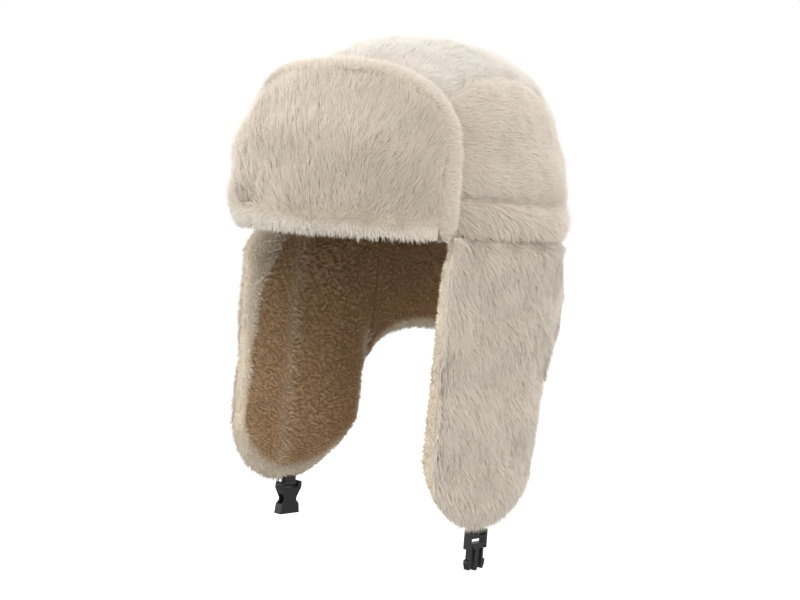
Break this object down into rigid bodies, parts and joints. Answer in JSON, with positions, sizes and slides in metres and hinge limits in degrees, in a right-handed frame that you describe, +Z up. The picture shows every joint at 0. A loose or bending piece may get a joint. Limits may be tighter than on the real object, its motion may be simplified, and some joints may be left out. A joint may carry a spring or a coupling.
{
  "type": "trapper hat",
  "caption": "Padded fur-cloth trapper hat with a turned-up visor, long fur-lined ear flaps, a short neck flap and a side-release chin buckle.",
  "frame": {"origin": "middle of the head opening, in the plane of the seam between crown and flaps", "axes": "+X the wearer's left, -Y the front, +Z up out of the crown's top"},
  "size_m": [0.211, 0.2651, 0.3628],
  "materials": {
    "fur_front": "plush pile",
    "fur_side": "plush pile",
    "fur_lining": "plush pile",
    "lining_cloth": "woven",
    "wadding": "felted",
    "webbing": "woven",
    "buckle_plastic": "moulded"
  },
  "bodies": {
    "crown": {"crown_centre_panel": "fur_front", "crown_side_panel_left": "fur_side", "crown_side_panel_right": "fur_side", "crown_band": "fur_side", "crown_batting": "wadding", "crown_lining": "lining_cloth", "neck_flap_shell": "fur_side", "neck_flap_wadding": "wadding", "neck_flap_lining": "fur_lining"},
    "visor": {"visor_face": "fur_front", "visor_stiffener": "wadding", "visor_back": "fur_side", "visor_edge_roll": "fur_front"},
    "ear_flap_left": {"ear_flap_left_shell": "fur_side", "ear_flap_left_wadding": "wadding", "ear_flap_left_lining": "fur_lining", "strap_left": "webbing"},
    "ear_flap_right": {"ear_flap_right_shell": "fur_side", "ear_flap_right_wadding": "wadding", "ear_flap_right_lining": "fur_lining", "strap_right": "webbing"},
    "buckle_plug": {"buckle_plug": "buckle_plastic"},
    "prong_front": {"buckle_prong_front": "buckle_plastic"},
    "prong_rear": {"buckle_prong_rear": "buckle_plastic"},
    "buckle_socket": {"buckle_socket": "buckle_plastic"}
  },
  "joints": [
    {"name": "visor_fold", "type": "hinge", "parent": "crown", "child": "visor", "pos_m": [0, -0.1221, 0], "axis": [1, 0, 0], "range_deg": [0, 45]},
    {"name": "ear_flap_left_fold", "type": "hinge", "parent": "crown", "child": "ear_flap_left", "pos_m": [0.106, 0, 0], "axis": [0, -1, 0], "range_deg": [-6, 150]},
    {"name": "ear_flap_right_fold", "type": "hinge", "parent": "crown", "child": "ear_flap_right", "pos_m": [-0.106, 0, 0], "axis": [0, 1, 0], "range_deg": [-6, 150]},
    {"name": "plug_swing", "type": "hinge", "parent": "ear_flap_left", "child": "buckle_plug", "pos_m": [0.0923, -0.01699, -0.1997], "axis": [0, -1, 0], "range_deg": [-60, 60]},
    {"name": "prong_front_squeeze", "type": "hinge", "parent": "buckle_plug", "child": "prong_front", "pos_m": [0.0923, -0.02309, -0.2108], "axis": [1, 0, 0], "range_deg": [0, 9], "stiffness_Nm_per_rad": 0.05},
    {"name": "prong_rear_squeeze", "type": "hinge", "parent": "buckle_plug", "child": "prong_rear", "pos_m": [0.0923, -0.01089, -0.2108], "axis": [-1, 0, 0], "range_deg": [0, 9], "stiffness_Nm_per_rad": 0.05},
    {"name": "socket_swing", "type": "hinge", "parent": "ear_flap_right", "child": "buckle_socket", "pos_m": [-0.0923, -0.01699, -0.1997], "axis": [0, 1, 0], "range_deg": [-60, 60]}
  ]
}
